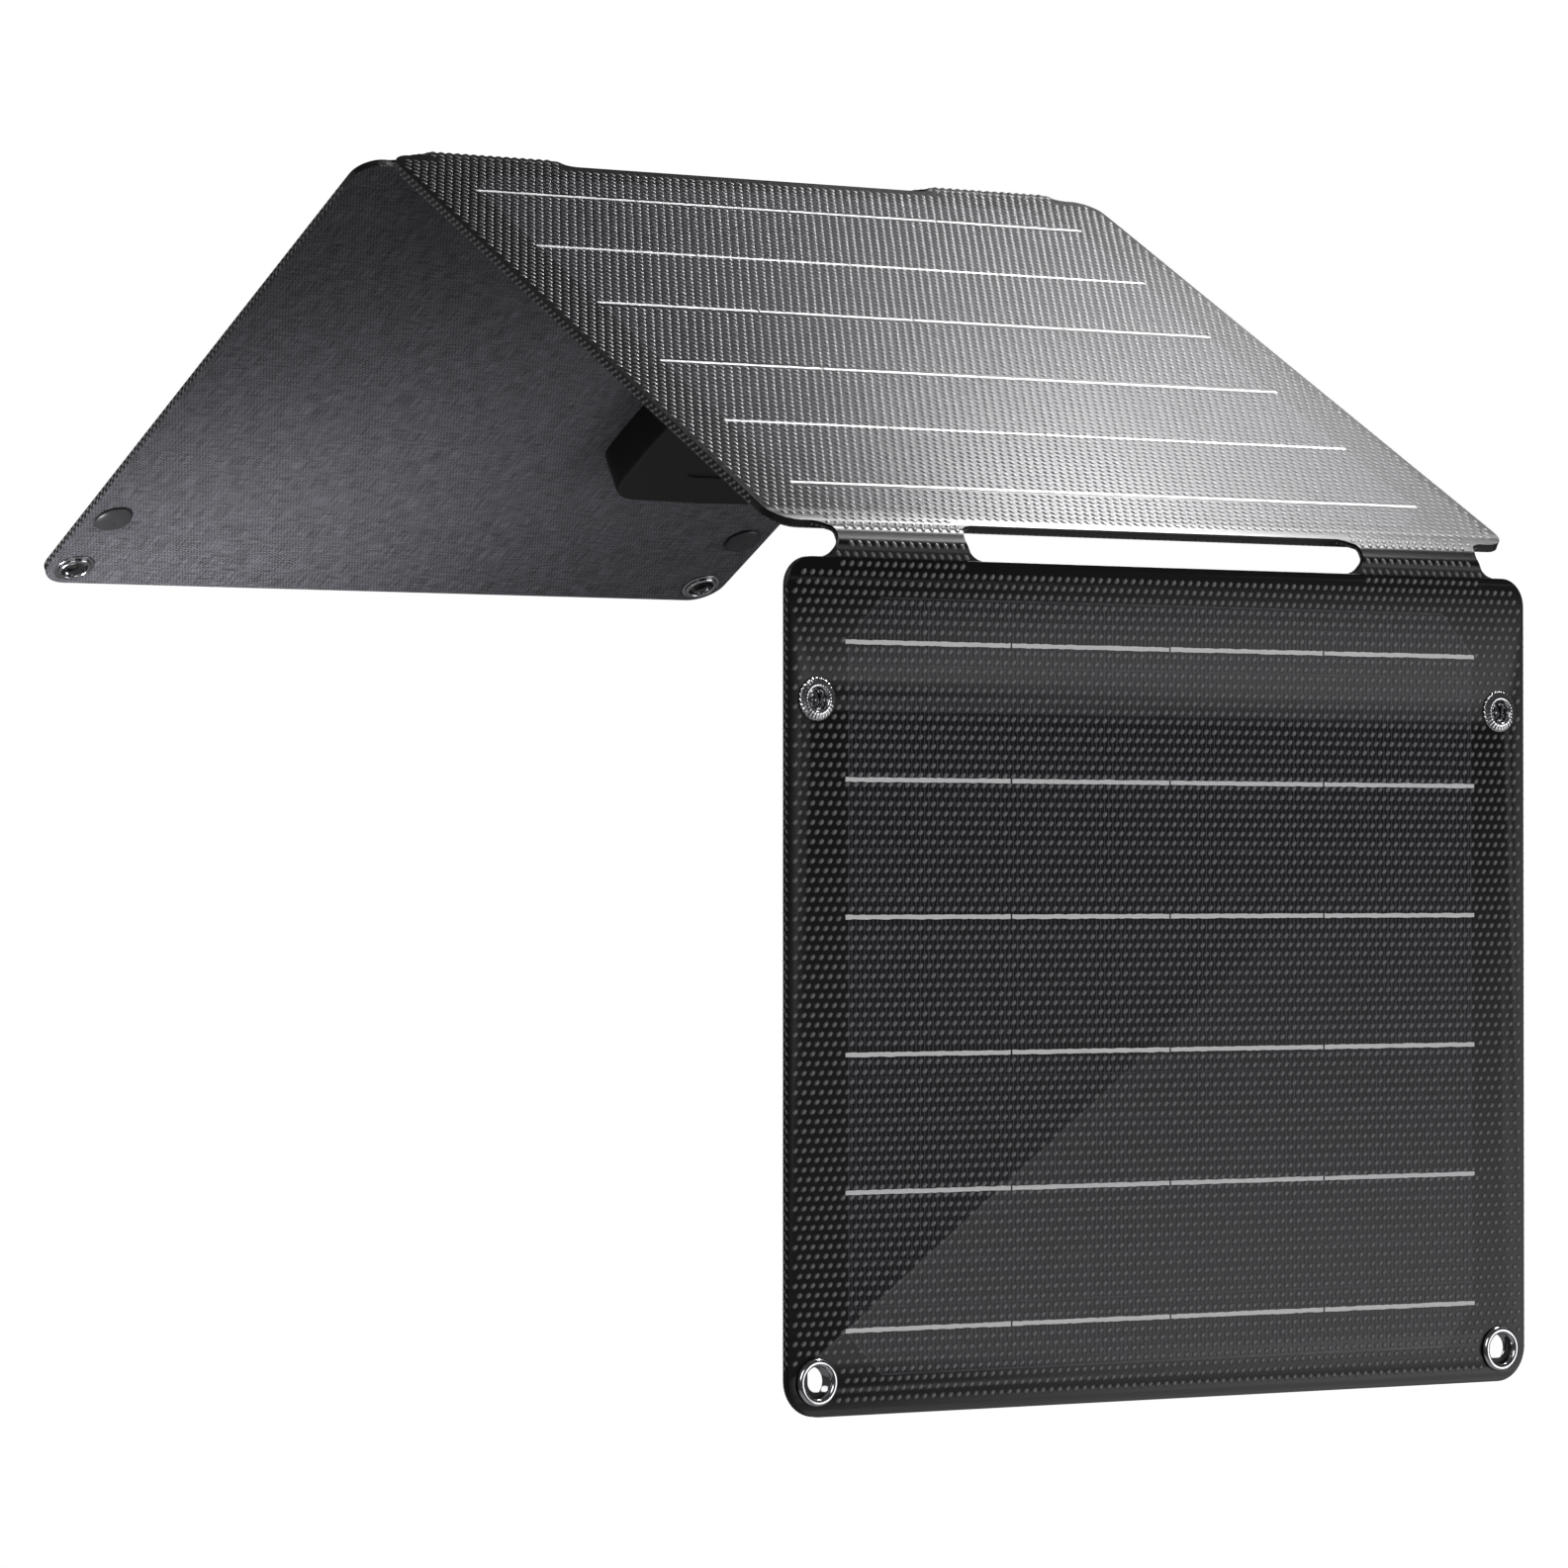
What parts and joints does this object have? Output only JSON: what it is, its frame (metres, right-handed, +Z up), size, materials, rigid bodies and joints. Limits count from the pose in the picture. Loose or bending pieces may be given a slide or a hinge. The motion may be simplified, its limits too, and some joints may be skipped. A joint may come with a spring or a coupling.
{
  "type": "folding solar charger",
  "caption": "Pocket solar charger: stiff laminated panels joined by soft folds with carry slots, corner grommets, snaps and a controller box.",
  "frame": {"origin": "middle of the carry slot at the ridge fold, halfway between the two fold tabs and at the fold's mid-thickness", "axes": "+X along the folds to the right, +Y away from the hanging panel and towards the leaning one, +Z up; the cell side of the ridge fold faces +Z"},
  "size_m": [0.193, 0.3144, 0.2673],
  "materials": {
    "front_film": "embossed clear fluoropolymer film over black, satin",
    "bus_ribbon": "tinned copper ribbon, bright",
    "solar_cell": "monocrystalline silicon with antireflection coating",
    "core_board": "glass-fibre board, black",
    "back_cloth": "fine woven polyester, charcoal",
    "jumper_braid": "tinned copper braid",
    "nickel_plate": "nickel-plated brass, polished",
    "snap_cap_enamel": "black nickel cap, satin",
    "controller_plastic": "moulded plastic, fine matte",
    "circuit_board": "green solder mask",
    "bare_steel": "nickel-plated steel",
    "light_pipe": "clear moulded light pipe"
  },
  "bodies": {
    "panel_b": {"panel_b_front_film": "front_film", "panel_b_bus_ribbons": "bus_ribbon", "panel_b_cell_strip_1": "solar_cell", "panel_b_cell_strip_2": "solar_cell", "panel_b_cell_strip_3": "solar_cell", "panel_b_cell_strip_4": "solar_cell", "panel_b_core_board": "core_board", "panel_b_back_cloth": "back_cloth"},
    "ridge_fold": {"ridge_fold_left_film_tab": "front_film", "ridge_fold_left_cloth_tab": "back_cloth", "ridge_fold_left_jumper": "jumper_braid", "ridge_fold_right_film_tab": "front_film", "ridge_fold_right_cloth_tab": "back_cloth", "ridge_fold_right_jumper": "jumper_braid"},
    "panel_a": {"panel_a_front_film": "front_film", "panel_a_bus_ribbons": "bus_ribbon", "panel_a_cell_strip_1": "solar_cell", "panel_a_cell_strip_2": "solar_cell", "panel_a_cell_strip_3": "solar_cell", "panel_a_cell_strip_4": "solar_cell", "panel_a_core_board": "core_board", "panel_a_back_cloth": "back_cloth", "panel_a_left_grommet": "nickel_plate", "panel_a_left_grommet_washer": "nickel_plate", "panel_a_right_grommet": "nickel_plate", "panel_a_right_grommet_washer": "nickel_plate", "panel_a_left_snap_cap": "snap_cap_enamel", "panel_a_left_snap_socket": "nickel_plate", "panel_a_right_snap_cap": "snap_cap_enamel", "panel_a_right_snap_socket": "nickel_plate", "controller_base": "controller_plastic", "controller_cover": "controller_plastic", "controller_board": "circuit_board", "controller_screw_1": "bare_steel", "controller_screw_2": "bare_steel", "usb_a_socket": "bare_steel", "usb_c_socket": "bare_steel", "charge_light_pipe": "light_pipe"},
    "lower_fold": {"lower_fold_left_film_tab": "front_film", "lower_fold_left_cloth_tab": "back_cloth", "lower_fold_left_jumper": "jumper_braid", "lower_fold_right_film_tab": "front_film", "lower_fold_right_cloth_tab": "back_cloth", "lower_fold_right_jumper": "jumper_braid"},
    "panel_c": {"panel_c_front_film": "front_film", "panel_c_bus_ribbons": "bus_ribbon", "panel_c_cell_strip_1": "solar_cell", "panel_c_cell_strip_2": "solar_cell", "panel_c_cell_strip_3": "solar_cell", "panel_c_cell_strip_4": "solar_cell", "panel_c_core_board": "core_board", "panel_c_back_cloth": "back_cloth", "panel_c_left_grommet": "nickel_plate", "panel_c_left_grommet_washer": "nickel_plate", "panel_c_right_grommet": "nickel_plate", "panel_c_right_grommet_washer": "nickel_plate", "panel_c_left_snap_eyelet": "nickel_plate", "panel_c_left_snap_stud": "nickel_plate", "panel_c_right_snap_eyelet": "nickel_plate", "panel_c_right_snap_stud": "nickel_plate"}
  },
  "joints": [
    {"name": "ridge_crease_b", "type": "hinge", "parent": "panel_b", "child": "ridge_fold", "pos_m": [0, -0.00305, 0], "axis": [1, 0, 0], "range_deg": [-30, 120], "deforming": ["ridge_fold_left_film_tab", "ridge_fold_left_cloth_tab", "ridge_fold_left_jumper", "ridge_fold_right_film_tab", "ridge_fold_right_cloth_tab", "ridge_fold_right_jumper"]},
    {"name": "ridge_crease_a", "type": "hinge", "parent": "ridge_fold", "child": "panel_a", "pos_m": [0, 0.00305, 0], "axis": [1, 0, 0], "range_deg": [-30, 120]},
    {"name": "lower_crease_b", "type": "hinge", "parent": "panel_b", "child": "lower_fold", "pos_m": [0, -0.15706, -0.08891], "axis": [-1, 0, 0], "range_deg": [-25, 120], "deforming": ["lower_fold_left_film_tab", "lower_fold_left_cloth_tab", "lower_fold_left_jumper", "lower_fold_right_film_tab", "lower_fold_right_cloth_tab", "lower_fold_right_jumper"]},
    {"name": "lower_crease_c", "type": "hinge", "parent": "lower_fold", "child": "panel_c", "pos_m": [0, -0.15835, -0.09117], "axis": [-1, 0, 0], "range_deg": [-25, 120]}
  ],
  "couplings": [
    {"joint": "ridge_crease_a", "follows": "ridge_crease_b", "ratio": 1},
    {"joint": "lower_crease_c", "follows": "lower_crease_b", "ratio": 1}
  ]
}
